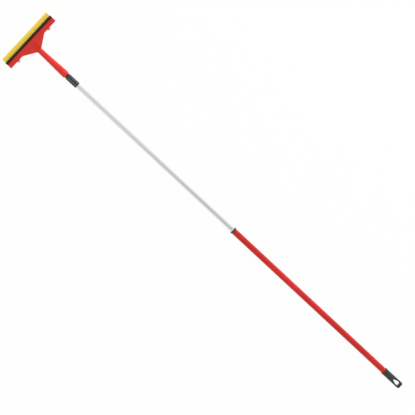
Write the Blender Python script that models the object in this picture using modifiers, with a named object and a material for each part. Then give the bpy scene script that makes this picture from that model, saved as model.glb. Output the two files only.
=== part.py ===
"""Window squeegee on a telescopic pole, extended and lying on its sponge.

Every piece is modelled standing up: the pole runs along Z with the head at the top, and the
blade side faces -Y. One parent empty then lays the whole squeegee down, so that the pole runs
along X with the head at +X and the blade side up. The origin is on the floor under the middle.
"""

import math

import bmesh
import bpy
from mathutils import Matrix, Vector

MM = 0.001

# Fits shared by all pieces
FIT_GAP = 0.3 * MM
OVERRUN = 2.0 * MM

# Facets of round pieces and of rounded corners
TUBE_SIDES = 40
PIN_SIDES = 20
NUT_SIDES = 6
CORNER_STEPS = 5
SMOOTH_ANGLE = math.radians(30)

# Tubes, from the inside out
INNER_TUBE_DIAMETER = 19.8 * MM
INNER_TUBE_WALL = 0.9 * MM
INNER_TUBE_LENGTH = 945.5 * MM
OUTER_TUBE_WALL = 0.7 * MM
OUTER_TUBE_LENGTH = 904.0 * MM

# Guide collar in the mouth of the outer tube
COLLAR_WALL = 1.1 * MM
COLLAR_BRIM = 1.6 * MM
COLLAR_BRIM_HEIGHT = 5.0 * MM
COLLAR_BRIM_ROUNDING = 1.0 * MM
COLLAR_SPIGOT_LENGTH = 50.0 * MM
PULL_OUT_STOP_GAP = 0.5 * MM

# End cap with its hanging eye
CAP_LENGTH = 97.5 * MM
CAP_WALL = 1.75 * MM
CAP_SOCKET_DEPTH = 38.0 * MM
CAP_BEAD = 0.9 * MM
CAP_BEAD_HEIGHT = 4.5 * MM
CAP_BEAD_ROUNDING = 0.8 * MM
CAP_END_ROUNDING = 6.0 * MM
CAP_TAB_THICKNESS = 11.0 * MM
CAP_TAB_LENGTH = 38.0 * MM
CAP_SHOULDER_LENGTH = 18.0 * MM
EYE_WIDTH = 14.7 * MM
EYE_BOTTOM = 11.1 * MM
EYE_SIDE_HEIGHT = 15.0 * MM
EYE_HEIGHT = 37.1 * MM
EYE_APEX_ROUNDING = 2.2 * MM
EYE_SHOULDER_ROUNDING = 7.0 * MM
EYE_CORNER_ROUNDING = 3.5 * MM

# Twist lock on the low end of the inner tube
PLUG_DEPTH = 32.0 * MM
PLUG_FLANGE_HEIGHT = 5.0 * MM
PLUG_RUNNING_GAP = 0.45 * MM
SPINDLE_DIAMETER = 8.0 * MM
SPINDLE_PLUG_DEPTH = 18.0 * MM
SPINDLE_TAIL = 2.0 * MM
EXPANDER_LENGTH = 28.0 * MM
EXPANDER_NECK_LENGTH = 10.0 * MM
EXPANDER_RIM_WALL = 1.6 * MM
EXPANDER_SLIT = 2.4 * MM
CONE_TOP_WALL = 1.2 * MM
CONE_BASE_HEIGHT = 6.0 * MM
CONE_TRAVEL = 3.0 * MM
CONE_FREE_PLAY = 2.0 * MM
STOP_NUT_HEIGHT = 5.0 * MM
STOP_NUT_WALL = 2.5 * MM

# Screw adaptor between the inner tube and the head
ADAPTOR_WALL = 2.3 * MM
ADAPTOR_SLEEVE_LENGTH = 51.0 * MM
ADAPTOR_TUBE_DEPTH = 40.0 * MM
ADAPTOR_FOOT_BEVEL = 1.0 * MM
ADAPTOR_RIB_COUNT = 18
ADAPTOR_RIB_POINTS = 4
ADAPTOR_RIB_HEIGHT = 0.5 * MM
ADAPTOR_PLAIN_END = 4.0 * MM
THREAD_STEP = 1.1 * MM
THREAD_SHOWN = 8.8 * MM
THREAD_HIDDEN = 33.5 * MM
THREAD_END_BEVEL = 1.5 * MM

# Socket and neck of the squeegee body
SOCKET_WALL = 2.5 * MM
SOCKET_BORE_DEPTH = 38.0 * MM
SOCKET_LIP_ROUNDING = 1.2 * MM
NECK_DIAMETER = 21.5 * MM
NECK_LENGTH = 141.0 * MM
NECK_DOME_HEIGHT = 5.5 * MM
NECK_HOLLOW_END = 114.0 * MM
TAPER_STEPS = 8
DOME_STEPS = 5

# Fan and bar of the squeegee body
BAR_WIDTH = 250.0 * MM
BAR_HEIGHT = 19.4 * MM
BAR_BOTTOM = 172.8 * MM
BAR_FRONT = 8.5 * MM
BAR_BACK = 9.0 * MM
BAR_CORNER_ROUNDING = 2.0 * MM
FAN_ROOT = 141.2 * MM
FAN_TAIL_WIDTH = 10.0 * MM
FAN_WIDTH = 122.0 * MM
FAN_SET_BACK = 1.5 * MM
FAN_TOP_ROUNDING = 14.0 * MM
FAN_ROOT_ROUNDING = 9.0 * MM
FAN_ROOT_OVERLAP = 0.15 * MM
EDGE_ROUNDING = 1.2 * MM

# Hollow back of the body, with its ribs
SHELL_WALL = 2.5 * MM
RIB_THICKNESS = 1.8 * MM
RIB_PITCH = 25.0 * MM
RIB_SET_BACK = 1.5 * MM
CORE_POCKET_WIDTH = 15.0 * MM
CORE_POCKET_HEIGHT = 18.0 * MM

# Ribbed recess in the front of the fan
RECESS_WIDTH = 22.0 * MM
RECESS_BOTTOM = 144.5 * MM
RECESS_HEIGHT = 28.0 * MM
RECESS_DEPTH = 2.2 * MM
RECESS_ARCH_ROUNDING = 10.0 * MM
RECESS_FOOT_ROUNDING = 2.0 * MM
RECESS_RIB_PITCH = 7.2 * MM
RECESS_RIB_THICKNESS = 2.2 * MM
RECESS_RIB_DROP = 0.5 * MM
RECESS_SLOT_HEIGHT = 2.2 * MM
RECESS_SLOT_RISE = 12.0 * MM

# Snap pins of the sponge carrier and their bosses in the bar
PIN_SPACING = 168.4 * MM
PIN_DIAMETER = 7.4 * MM
PIN_SLIT = 2.4 * MM
PIN_SLIT_LENGTH = 18.0 * MM
BARB_OVERHANG = 1.3 * MM
BARB_LENGTH = 6.5 * MM
BARB_TIP_DIAMETER = 6.6 * MM
BOSS_WALL = 2.8 * MM
BOSS_DROP = 2.0 * MM

# Sponge, its carrier and the rubber blade
CARRIER_THICKNESS = 2.5 * MM
CARRIER_END_INSET = 2.0 * MM
CARRIER_SET_BACK = 2.1 * MM
SPONGE_END_INSET = 1.5 * MM
SPONGE_HEIGHT = 22.6 * MM
SPONGE_FRONT = 9.0 * MM
SPONGE_ROUNDING = 1.5 * MM
BLADE_FOOT_THICKNESS = 2.0 * MM
BLADE_ROOT_THICKNESS = 2.2 * MM
BLADE_TIP_THICKNESS = 1.3 * MM
BLADE_REACH = 13.4 * MM
BLADE_LEAN = math.radians(35)

# Radii that follow from the sizes above
INNER_RADIUS = INNER_TUBE_DIAMETER / 2
INNER_BORE = INNER_RADIUS - INNER_TUBE_WALL
COLLAR_BORE = INNER_RADIUS + FIT_GAP
COLLAR_SPIGOT_RADIUS = COLLAR_BORE + COLLAR_WALL
OUTER_BORE = COLLAR_SPIGOT_RADIUS + FIT_GAP
OUTER_RADIUS = OUTER_BORE + OUTER_TUBE_WALL
CAP_BORE = OUTER_RADIUS + FIT_GAP
CAP_RADIUS = CAP_BORE + CAP_WALL
CAP_BEAD_RADIUS = CAP_RADIUS + CAP_BEAD
ADAPTOR_BORE = INNER_RADIUS + FIT_GAP
ADAPTOR_RADIUS = ADAPTOR_BORE + ADAPTOR_WALL
THREAD_RADIUS = ADAPTOR_RADIUS - THREAD_STEP
SOCKET_BORE = THREAD_RADIUS + FIT_GAP
MOUTH_RADIUS = SOCKET_BORE + SOCKET_WALL
NECK_RADIUS = NECK_DIAMETER / 2
PLUG_RADIUS = OUTER_BORE - PLUG_RUNNING_GAP
SPINDLE_RADIUS = SPINDLE_DIAMETER / 2
SPINDLE_BORE = SPINDLE_RADIUS + FIT_GAP
PIN_RADIUS = PIN_DIAMETER / 2
PIN_BORE = PIN_RADIUS + FIT_GAP
BOSS_RADIUS = PIN_BORE + BOSS_WALL

# Heights along the pole, from the end of the cap to the top of the sponge
CAP_SOCKET_FLOOR = CAP_LENGTH - CAP_SOCKET_DEPTH
OUTER_TUBE_LOW = CAP_SOCKET_FLOOR + FIT_GAP
OUTER_TUBE_HIGH = OUTER_TUBE_LOW + OUTER_TUBE_LENGTH
INNER_TUBE_LOW = OUTER_TUBE_HIGH - COLLAR_SPIGOT_LENGTH - PULL_OUT_STOP_GAP
INNER_TUBE_HIGH = INNER_TUBE_LOW + INNER_TUBE_LENGTH
ADAPTOR_FOOT = INNER_TUBE_HIGH - ADAPTOR_TUBE_DEPTH
MOUTH = ADAPTOR_FOOT + ADAPTOR_SLEEVE_LENGTH + THREAD_SHOWN

# The fan's front, its edges' turn away from the pole, and where they end inside the neck
FAN_FRONT = BAR_FRONT - FAN_SET_BACK
FAN_SPREAD = math.atan2(FAN_WIDTH / 2 - NECK_RADIUS, BAR_BOTTOM - FAN_ROOT)
FAN_TAIL = FAN_ROOT - (NECK_RADIUS - FAN_TAIL_WIDTH / 2) / math.tan(FAN_SPREAD)

# Heights in the head, from the mouth of its socket
BAR_TOP = BAR_BOTTOM + BAR_HEIGHT
BLADE_FOOT_LOW = BAR_TOP + FIT_GAP
CARRIER_LOW = BLADE_FOOT_LOW + BLADE_FOOT_THICKNESS + FIT_GAP
SPONGE_LOW = CARRIER_LOW + CARRIER_THICKNESS + FIT_GAP
HEAD_HEIGHT = SPONGE_LOW + SPONGE_HEIGHT

# The squeegee lies on its widest round piece and on the back of the sponge
AXIS_HEIGHT = max(CAP_BEAD_RADIUS, MOUTH_RADIUS, OUTER_RADIUS + COLLAR_BRIM)
TOTAL_LENGTH = MOUTH + HEAD_HEIGHT


def clear_scene():
    for obj in list(bpy.data.objects):
        bpy.data.objects.remove(obj)


def new_collection(name, parent=None):
    made = bpy.data.collections.new(name)
    (parent or bpy.context.scene.collection).children.link(made)
    return made


def principled(name, colour, roughness, metallic=0.0):
    """A material of one sRGB colour, given as a hex string."""
    made = bpy.data.materials.new(name)
    made.use_nodes = True
    channels = [int(colour[i : i + 2], 16) / 255 for i in (1, 3, 5)]
    linear = [((c + 0.055) / 1.055) ** 2.4 if c > 0.04045 else c / 12.92 for c in channels]
    shader = made.node_tree.nodes["Principled BSDF"]
    shader.inputs["Base Color"].default_value = (*linear, 1)
    shader.inputs["Roughness"].default_value = roughness
    shader.inputs["Metallic"].default_value = metallic
    return made


def place(obj, station, x=0):
    """Stands an object on the pole's axis at a height along the pole, or beside it."""
    obj.parent = laid_down
    obj.location = (x, 0, station)
    return obj


def as_part(obj, made_of):
    """Puts an object among the squeegee's pieces."""
    parts.objects.link(obj)
    obj.data.materials.append(made_of)
    obj.data.shade_smooth()
    obj.data.set_sharp_from_angle(angle=SMOOTH_ANGLE)
    return obj


def as_helper(obj, among=None):
    """Puts an object among the cutters and the shapes that a Boolean joins."""
    (among or helpers).objects.link(obj)
    obj.hide_render = True
    obj.display_type = "WIRE"
    return obj


def boolean(target, operation, other, solver="EXACT"):
    """Cuts from the target, joins to it, or keeps what it shares with the other."""
    modifier = target.modifiers.new(f"{operation.lower()} {other.name}", "BOOLEAN")
    modifier.operation = operation
    modifier.solver = solver
    if isinstance(other, bpy.types.Collection):
        modifier.operand_type = "COLLECTION"
        modifier.collection = other
    else:
        modifier.object = other
    return modifier


def bevel(obj, width, segments=2, angle=math.radians(35)):
    modifier = obj.modifiers.new("rounded edges", "BEVEL")
    modifier.width = width
    modifier.segments = segments
    modifier.limit_method = "ANGLE"
    modifier.angle_limit = angle
    return modifier


def turned(name, profile, closed=False, sides=TUBE_SIDES):
    """A turned piece from (radius, height) points that run down its outer side."""
    mesh = bpy.data.meshes.new(name)
    form = bmesh.new()
    points = [form.verts.new((radius, 0, height)) for radius, height in profile]
    for first, second in zip(points, points[1:]):
        form.edges.new((first, second))
    if closed:
        form.edges.new((points[-1], points[0]))
    form.to_mesh(mesh)
    form.free()
    obj = bpy.data.objects.new(name, mesh)
    screw = obj.modifiers.new("turned", "SCREW")
    screw.axis = "Z"
    screw.steps = sides
    screw.render_steps = sides
    screw.use_merge_vertices = True
    screw.merge_threshold = 0.001 * MM
    screw.use_smooth_shade = True
    return obj


def ring(name, outer, inner, low, high, sides=TUBE_SIDES):
    """A plain tube between two heights."""
    profile = [(outer, high), (outer, low), (inner, low), (inner, high)]
    return turned(name, profile, closed=True, sides=sides)


def rod(name, radius, low, high, sides=TUBE_SIDES):
    return turned(name, [(0, high), (radius, high), (radius, low), (0, low)], sides=sides)


def box(name, low, high):
    """A box between two corners, with its object's origin at the frame's."""
    mesh = bpy.data.meshes.new(name)
    form = bmesh.new()
    bmesh.ops.create_cube(form, size=1)
    low = Vector(low)
    high = Vector(high)
    bmesh.ops.scale(form, vec=high - low, verts=form.verts)
    bmesh.ops.translate(form, vec=(low + high) / 2, verts=form.verts)
    form.to_mesh(mesh)
    form.free()
    return bpy.data.objects.new(name, mesh)


# How a flat outline's own X, Y and thickness lie in the piece
FRONT_VIEW = Matrix(((1, 0, 0), (0, 0, -1), (0, 1, 0))).to_4x4()
SIDE_VIEW = Matrix(((0, 0, 1), (1, 0, 0), (0, 1, 0))).to_4x4()
TOP_VIEW = Matrix.Identity(4)


def slab(name, outline, low, high, view, rounding=0):
    """A flat outline, extruded square to its view from one place to another.

    A rounding swells it by that much all round, with round edges on both faces.
    """
    curve = bpy.data.curves.new(name, "CURVE")
    curve.dimensions = "2D"
    curve.fill_mode = "BOTH"
    curve.extrude = (high - low) / 2 - rounding
    curve.bevel_depth = rounding
    curve.bevel_resolution = 1
    spline = curve.splines.new("POLY")
    spline.points.add(len(outline) - 1)
    for point, (x, y) in zip(spline.points, outline):
        point.co = (x, y, 0, 1)
    spline.use_cyclic_u = True
    drawn = bpy.data.objects.new(name, curve)
    bpy.context.scene.collection.objects.link(drawn)
    graph = bpy.context.evaluated_depsgraph_get()
    mesh = bpy.data.meshes.new_from_object(drawn.evaluated_get(graph))
    bpy.data.objects.remove(drawn)
    form = bmesh.new()
    form.from_mesh(mesh)
    bmesh.ops.remove_doubles(form, verts=form.verts, dist=0.001 * MM)
    across = (high + low) / 2
    middle = {"FRONT": (0, across, 0), "SIDE": (across, 0, 0), "TOP": (0, 0, across)}[view]
    turn = {"FRONT": FRONT_VIEW, "SIDE": SIDE_VIEW, "TOP": TOP_VIEW}[view]
    form.transform(Matrix.Translation(middle) @ turn)
    bmesh.ops.recalc_face_normals(form, faces=form.faces)
    form.to_mesh(mesh)
    form.free()
    mesh.name = name
    return bpy.data.objects.new(name, mesh)


def rounded(corners):
    """The outline through (x, y, radius) corners, each one rounded by its radius."""
    outline = []
    count = len(corners)
    for i, (x, y, radius) in enumerate(corners):
        corner = Vector((x, y))
        before = (Vector(corners[i - 1][:2]) - corner).normalized()
        after = (Vector(corners[(i + 1) % count][:2]) - corner).normalized()
        if radius <= 0:
            outline.append((x, y))
            continue
        half = before.angle(after) / 2
        centre = corner + (before + after).normalized() * radius / math.sin(half)
        start = corner + before * radius / math.tan(half) - centre
        sweep = start.angle_signed(corner + after * radius / math.tan(half) - centre)
        for step in range(CORNER_STEPS + 1):
            turn = Matrix.Rotation(-sweep * step / CORNER_STEPS, 2)
            outline.append(tuple(centre + turn @ start))
    return outline


def inset(corners, distance):
    """Corners that run counter-clockwise, moved inwards by a distance, rounding and all."""
    moved = []
    count = len(corners)
    for i, (x, y, radius) in enumerate(corners):
        corner = Vector((x, y))
        along = (corner - Vector(corners[i - 1][:2])).normalized()
        onward = (Vector(corners[(i + 1) % count][:2]) - corner).normalized()
        inward = Vector((-along.y, along.x)) + Vector((-onward.y, onward.x))
        step = inward * distance / (1 + along.dot(onward))
        convex = along.cross(onward) > 0
        new_radius = max(radius - distance, 0) if convex else radius + distance
        moved.append((x + step.x, y + step.y, new_radius))
    return moved


def mirrored(half):
    """The closed outline of a right half that runs up from the middle line."""
    return half + [(-x, y, radius) for x, y, radius in reversed(half)]


def make_outer_tube():
    tube = ring("outer_tube", OUTER_RADIUS, OUTER_BORE, 0, OUTER_TUBE_LENGTH)
    place(as_part(tube, red_enamel), OUTER_TUBE_LOW)


def make_inner_tube():
    tube = ring("inner_tube", INNER_RADIUS, INNER_BORE, 0, INNER_TUBE_LENGTH)
    place(as_part(tube, aluminium), INNER_TUBE_LOW)


def make_collar():
    """A top-hat bush: its brim caps the outer tube and its spigot guides the inner one."""
    brim = OUTER_RADIUS + COLLAR_BRIM
    top = COLLAR_BRIM_HEIGHT
    profile = [
        (COLLAR_BORE, top),
        (brim - COLLAR_BRIM_ROUNDING, top),
        (brim, top - COLLAR_BRIM_ROUNDING),
        (brim, 0),
        (COLLAR_SPIGOT_RADIUS, 0),
        (COLLAR_SPIGOT_RADIUS, -COLLAR_SPIGOT_LENGTH),
        (COLLAR_BORE, -COLLAR_SPIGOT_LENGTH),
    ]
    collar = turned("guide_collar", profile, closed=True)
    place(as_part(collar, black_plastic), OUTER_TUBE_HIGH + FIT_GAP)


def make_end_cap():
    """A sleeve on the tube, beaded at its rim, that flattens to a tab with the hanging eye."""
    bead_low = CAP_LENGTH - CAP_BEAD_HEIGHT
    profile = [
        (CAP_BORE, CAP_LENGTH),
        (CAP_BEAD_RADIUS - CAP_BEAD_ROUNDING, CAP_LENGTH),
        (CAP_BEAD_RADIUS, CAP_LENGTH - CAP_BEAD_ROUNDING),
        (CAP_BEAD_RADIUS, bead_low + CAP_BEAD_ROUNDING),
        (CAP_RADIUS, bead_low),
    ]
    for step in range(CORNER_STEPS + 1):
        turn = math.pi / 2 * step / CORNER_STEPS
        radius = CAP_RADIUS - CAP_END_ROUNDING * (1 - math.cos(turn))
        profile.append((radius, CAP_END_ROUNDING * (1 - math.sin(turn))))
    profile += [(0, 0), (0, CAP_SOCKET_FLOOR), (CAP_BORE, CAP_SOCKET_FLOOR)]
    cap = turned("end_cap", profile, closed=True)

    half_tab = CAP_TAB_THICKNESS / 2
    full = CAP_BEAD_RADIUS + OVERRUN
    shoulder = []
    for step in range(TAPER_STEPS + 1):
        share = step / TAPER_STEPS
        swell = (1 - math.cos(math.pi * share)) / 2
        height = CAP_TAB_LENGTH + CAP_SHOULDER_LENGTH * share
        shoulder.append((half_tab + (full - half_tab) * swell, height, 0))
    side = [(half_tab, -OVERRUN, 0), *shoulder, (full, CAP_LENGTH + OVERRUN, 0)]
    flattened = slab("cap_side_view", rounded(mirrored(side)), -full, full, "SIDE")
    boolean(cap, "INTERSECT", place(as_helper(flattened), 0))

    eye = [
        (EYE_WIDTH / 2, EYE_BOTTOM, EYE_CORNER_ROUNDING),
        (EYE_WIDTH / 2, EYE_BOTTOM + EYE_SIDE_HEIGHT, EYE_SHOULDER_ROUNDING),
    ]
    apex = (0, EYE_BOTTOM + EYE_HEIGHT, EYE_APEX_ROUNDING)
    outline = rounded([*eye, apex, *[(-x, y, r) for x, y, r in reversed(eye)]])
    hole = slab("hanging_eye", outline, -full, full, "FRONT")
    boolean(cap, "DIFFERENCE", place(as_helper(hole), 0))
    place(as_part(cap, black_plastic), 0)


def make_twist_lock():
    """Plug, spindle, split expander, cone and stop nut, from the tube's low end down."""
    flange_low = -FIT_GAP - PLUG_FLANGE_HEIGHT
    plug_body = INNER_BORE - FIT_GAP
    blind = SPINDLE_PLUG_DEPTH + FIT_GAP
    plug = turned(
        "lock_plug",
        [
            (0, PLUG_DEPTH),
            (plug_body, PLUG_DEPTH),
            (plug_body, -FIT_GAP),
            (PLUG_RADIUS, -FIT_GAP),
            (PLUG_RADIUS, flange_low),
            (SPINDLE_BORE, flange_low),
            (SPINDLE_BORE, flange_low + blind),
            (0, flange_low + blind),
        ],
    )
    place(as_part(plug, grey_plastic), INNER_TUBE_LOW)

    sleeve_high = flange_low - FIT_GAP
    sleeve_low = sleeve_high - EXPANDER_LENGTH
    cone_high = sleeve_high - EXPANDER_NECK_LENGTH
    sleeve_radius = PLUG_RADIUS
    rim_bore = sleeve_radius - EXPANDER_RIM_WALL
    neck_bore = SPINDLE_BORE + CONE_TOP_WALL + FIT_GAP
    sleeve = turned(
        "expander_sleeve",
        [
            (sleeve_radius, sleeve_high),
            (sleeve_radius, sleeve_low),
            (rim_bore, sleeve_low),
            (neck_bore, cone_high),
            (SPINDLE_BORE, cone_high),
            (SPINDLE_BORE, sleeve_high),
        ],
        closed=True,
    )
    reach = sleeve_radius + OVERRUN
    slit = box(
        "expander_slit",
        (-EXPANDER_SLIT / 2, 0, sleeve_low - OVERRUN),
        (EXPANDER_SLIT / 2, reach, sleeve_high + OVERRUN),
    )
    boolean(sleeve, "DIFFERENCE", place(as_helper(slit), INNER_TUBE_LOW))
    place(as_part(sleeve, grey_plastic), INNER_TUBE_LOW)

    slope = math.atan2(rim_bore - neck_bore, cone_high - sleeve_low)
    seat_gap = FIT_GAP / math.cos(slope)
    base_low = sleeve_low - CONE_BASE_HEIGHT
    cone = turned(
        "expander_cone",
        [
            (neck_bore - seat_gap, cone_high - FIT_GAP),
            (rim_bore - seat_gap, sleeve_low),
            (rim_bore - seat_gap, base_low),
            (SPINDLE_BORE, base_low),
            (SPINDLE_BORE, cone_high - FIT_GAP),
        ],
        closed=True,
    )
    half_key = EXPANDER_SLIT / 2 - FIT_GAP
    key = box(
        "cone_key",
        (-half_key, SPINDLE_BORE + CONE_TOP_WALL / 2, base_low),
        (half_key, sleeve_radius - FIT_GAP, cone_high - FIT_GAP - CONE_TRAVEL),
    )
    boolean(cone, "UNION", place(as_helper(key), INNER_TUBE_LOW))
    place(as_part(cone, grey_plastic), INNER_TUBE_LOW)

    nut_high = base_low - CONE_TRAVEL - CONE_FREE_PLAY
    nut_low = nut_high - STOP_NUT_HEIGHT
    spindle = rod(
        "lock_spindle",
        SPINDLE_RADIUS,
        nut_low - SPINDLE_TAIL,
        flange_low + SPINDLE_PLUG_DEPTH,
        sides=PIN_SIDES,
    )
    place(as_part(spindle, zinc_steel), INNER_TUBE_LOW)

    nut_corner = (SPINDLE_BORE + STOP_NUT_WALL) / math.cos(math.pi / NUT_SIDES)
    nut = rod("stop_nut", nut_corner, nut_low, nut_high, sides=NUT_SIDES)
    nut_bore = rod("nut_bore", SPINDLE_BORE, nut_low - OVERRUN, nut_high + OVERRUN, PIN_SIDES)
    boolean(nut, "DIFFERENCE", place(as_helper(nut_bore), INNER_TUBE_LOW))
    place(as_part(nut, zinc_steel), INNER_TUBE_LOW)


def ribbed_outline(radius, rib_height, count):
    """A circle with smooth lengthwise ribs, as a formula in the angle."""
    steps = count * ADAPTOR_RIB_POINTS
    outline = []
    for step in range(steps):
        turn = math.tau * step / steps
        reach = radius - rib_height * (1 - math.cos(turn * count)) / 2
        outline.append((reach * math.cos(turn), reach * math.sin(turn)))
    return outline


def make_screw_adaptor():
    """A ribbed sleeve on the inner tube, with the spigot that screws into the head."""
    shoulder = ADAPTOR_SLEEVE_LENGTH
    spigot_top = shoulder + THREAD_SHOWN + THREAD_HIDDEN
    tube_stop = ADAPTOR_TUBE_DEPTH + FIT_GAP
    plain = ADAPTOR_RADIUS - ADAPTOR_RIB_HEIGHT
    profile = [
        (0, spigot_top),
        (THREAD_RADIUS - THREAD_END_BEVEL, spigot_top),
        (THREAD_RADIUS, spigot_top - THREAD_END_BEVEL),
        (THREAD_RADIUS, shoulder),
        (plain, shoulder),
        (plain, ADAPTOR_PLAIN_END),
        (ADAPTOR_RADIUS, ADAPTOR_PLAIN_END),
        (ADAPTOR_RADIUS, ADAPTOR_FOOT_BEVEL),
        (ADAPTOR_RADIUS - ADAPTOR_FOOT_BEVEL, 0),
        (ADAPTOR_BORE, 0),
        (ADAPTOR_BORE, tube_stop),
        (0, tube_stop),
    ]
    adaptor = turned("screw_adaptor", profile)
    ribs = slab(
        "adaptor_ribs",
        ribbed_outline(ADAPTOR_RADIUS, ADAPTOR_RIB_HEIGHT * 2, ADAPTOR_RIB_COUNT),
        ADAPTOR_PLAIN_END / 2,
        shoulder - THREAD_STEP,
        "TOP",
    )
    bore = rod("adaptor_rib_bore", ADAPTOR_BORE + ADAPTOR_WALL / 4, 0, shoulder + OVERRUN)
    boolean(ribs, "DIFFERENCE", place(as_helper(bore), ADAPTOR_FOOT))
    boolean(adaptor, "UNION", place(as_helper(ribs), ADAPTOR_FOOT))
    place(as_part(adaptor, black_plastic), ADAPTOR_FOOT)


def taper(height):
    """The outer radius of the socket and neck at a height over the mouth."""
    share = height / NECK_LENGTH
    return NECK_RADIUS + (MOUTH_RADIUS - NECK_RADIUS) * (1 + math.cos(math.pi * share)) / 2


def bar_corners():
    """The right-hand corners of the bar as seen from the front."""
    return [
        (BAR_WIDTH / 2, BAR_BOTTOM, BAR_CORNER_ROUNDING),
        (BAR_WIDTH / 2, BAR_TOP, BAR_CORNER_ROUNDING),
    ]


def body_corners():
    """Corners of the bar and fan as seen from the front, from the fan's tail up."""
    fan = [(FAN_TAIL_WIDTH / 2, FAN_TAIL, 0), (FAN_WIDTH / 2, BAR_BOTTOM, FAN_TOP_ROUNDING)]
    return mirrored([*fan, *bar_corners()])


def make_bar_front():
    """The front of the bar, which stands proud of the fan."""
    outline = rounded(inset(mirrored(bar_corners()), EDGE_ROUNDING))
    front = slab("bar_front", outline, -BAR_FRONT, 0, "FRONT", EDGE_ROUNDING)
    return place(as_helper(front), MOUTH)


def make_fan_root():
    """The fillet in the corners between the neck and the fan's edges, as deep as the fan."""
    reach = FAN_ROOT_ROUNDING * math.tan(FAN_SPREAD / 2)
    start = FAN_ROOT - reach
    foot = NECK_RADIUS - FAN_ROOT_OVERLAP
    profile = [(0, start + FAN_ROOT_ROUNDING * math.sin(FAN_SPREAD))]
    for step in range(CORNER_STEPS, -1, -1):
        turn = FAN_SPREAD * step / CORNER_STEPS
        radius = foot + FAN_ROOT_ROUNDING * (1 - math.cos(turn))
        profile.append((radius, start + FAN_ROOT_ROUNDING * math.sin(turn)))
    profile.append((0, start))
    flare = turned("fan_root", profile)
    wide = NECK_RADIUS + FAN_ROOT_ROUNDING + OVERRUN
    depth = box("fan_depth", (-wide, -FAN_FRONT, start - OVERRUN), (wide, BAR_BACK, BAR_BOTTOM))
    boolean(flare, "INTERSECT", place(as_helper(depth), MOUTH))
    return place(as_helper(flare), MOUTH)


def make_body_hollow():
    """What the mould leaves out behind the front wall, between the ribs and bosses."""
    back = BAR_BACK + OVERRUN
    floor = SHELL_WALL - FAN_FRONT
    outline = rounded(inset(body_corners(), SHELL_WALL))
    hollow = slab("body_hollow", outline, floor, back, "FRONT")
    kept = new_collection("body_ribs", helpers)
    reach = back + OVERRUN
    rib_top = BAR_TOP + OVERRUN
    root = FAN_TAIL - OVERRUN
    ribs_each_side = int((BAR_WIDTH / 2 - SHELL_WALL) / RIB_PITCH)
    for number in range(-ribs_each_side, ribs_each_side + 1):
        x = number * RIB_PITCH
        rib = box(
            f"cross_rib_{number + ribs_each_side}",
            (x - RIB_THICKNESS / 2, floor - OVERRUN, root),
            (x + RIB_THICKNESS / 2, BAR_BACK - RIB_SET_BACK, rib_top),
        )
        place(as_helper(rib, kept), MOUTH)
    half_bar = BAR_WIDTH / 2
    under_bar = box(
        "bar_floor",
        (-half_bar, floor - OVERRUN, BAR_BOTTOM),
        (half_bar, reach, BAR_BOTTOM + SHELL_WALL),
    )
    place(as_helper(under_bar, kept), MOUTH)
    half_core = RECESS_WIDTH / 2 + SHELL_WALL
    core = box(
        "fan_core",
        (-half_core, floor - OVERRUN, root),
        (half_core, reach, BAR_BOTTOM + SHELL_WALL / 2),
    )
    place(as_helper(core, kept), MOUTH)
    for side in (-1, 1):
        boss = rod(f"boss_{side}", BOSS_RADIUS, BAR_BOTTOM - OVERRUN, rib_top, PIN_SIDES)
        place(as_helper(boss, kept), MOUTH, side * PIN_SPACING / 2)
    boolean(hollow, "DIFFERENCE", kept)
    return place(as_helper(hollow), MOUTH)


def make_recess():
    """The arched recess over the neck, less its two slotted ribs."""
    half = RECESS_WIDTH / 2
    top = RECESS_BOTTOM + RECESS_HEIGHT
    arch = mirrored(
        [(half, RECESS_BOTTOM, RECESS_FOOT_ROUNDING), (half, top, RECESS_ARCH_ROUNDING)]
    )
    floor = RECESS_DEPTH - FAN_FRONT
    proud = -NECK_RADIUS - OVERRUN
    recess = slab("fan_recess", rounded(arch), proud, floor, "FRONT")
    slot_low = RECESS_BOTTOM + RECESS_SLOT_RISE
    slot_high = slot_low + RECESS_SLOT_HEIGHT
    kept = new_collection("recess_ribs", helpers)
    for side in (-1, 1):
        x = side * RECESS_RIB_PITCH / 2
        for level, low, high in (
            ("low", RECESS_BOTTOM - OVERRUN, slot_low),
            ("high", slot_high, top + OVERRUN),
        ):
            rib = box(
                f"recess_rib_{level}_{side}",
                (x - RECESS_RIB_THICKNESS / 2, RECESS_RIB_DROP - FAN_FRONT, low),
                (x + RECESS_RIB_THICKNESS / 2, floor + OVERRUN, high),
            )
            place(as_helper(rib, kept), MOUTH)
    boolean(recess, "DIFFERENCE", kept)
    return place(as_helper(recess), MOUTH)


def make_neck():
    """The round neck and socket: a domed end in the fan, widening to the mouth."""
    profile = [(0, NECK_LENGTH + NECK_DOME_HEIGHT)]
    for step in range(1, DOME_STEPS + 1):
        turn = math.pi / 2 * step / DOME_STEPS
        height = NECK_LENGTH + NECK_DOME_HEIGHT * math.cos(turn)
        profile.append((NECK_RADIUS * math.sin(turn), height))
    for step in range(1, TAPER_STEPS):
        height = NECK_LENGTH * (1 - step / TAPER_STEPS)
        profile.append((taper(height), height))
    profile += [
        (MOUTH_RADIUS, SOCKET_LIP_ROUNDING),
        (MOUTH_RADIUS - SOCKET_LIP_ROUNDING / 2, 0),
        (0, 0),
    ]
    return place(as_helper(turned("body_neck", profile)), MOUTH)


def make_socket_bore():
    """The thread's bore, then a hollow that follows the taper of the neck."""
    profile = [(0, NECK_HOLLOW_END + NECK_RADIUS - SOCKET_WALL)]
    for step in range(1, TAPER_STEPS + 1):
        share = 1 - step / TAPER_STEPS
        height = SOCKET_BORE_DEPTH + (NECK_HOLLOW_END - SOCKET_BORE_DEPTH) * share
        profile.append((taper(height) - SOCKET_WALL - FIT_GAP, height))
    profile += [
        (SOCKET_BORE, SOCKET_BORE_DEPTH - SOCKET_WALL),
        (SOCKET_BORE, -OVERRUN),
        (0, -OVERRUN),
    ]
    return place(as_helper(turned("socket_bore", profile)), MOUTH)


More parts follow.
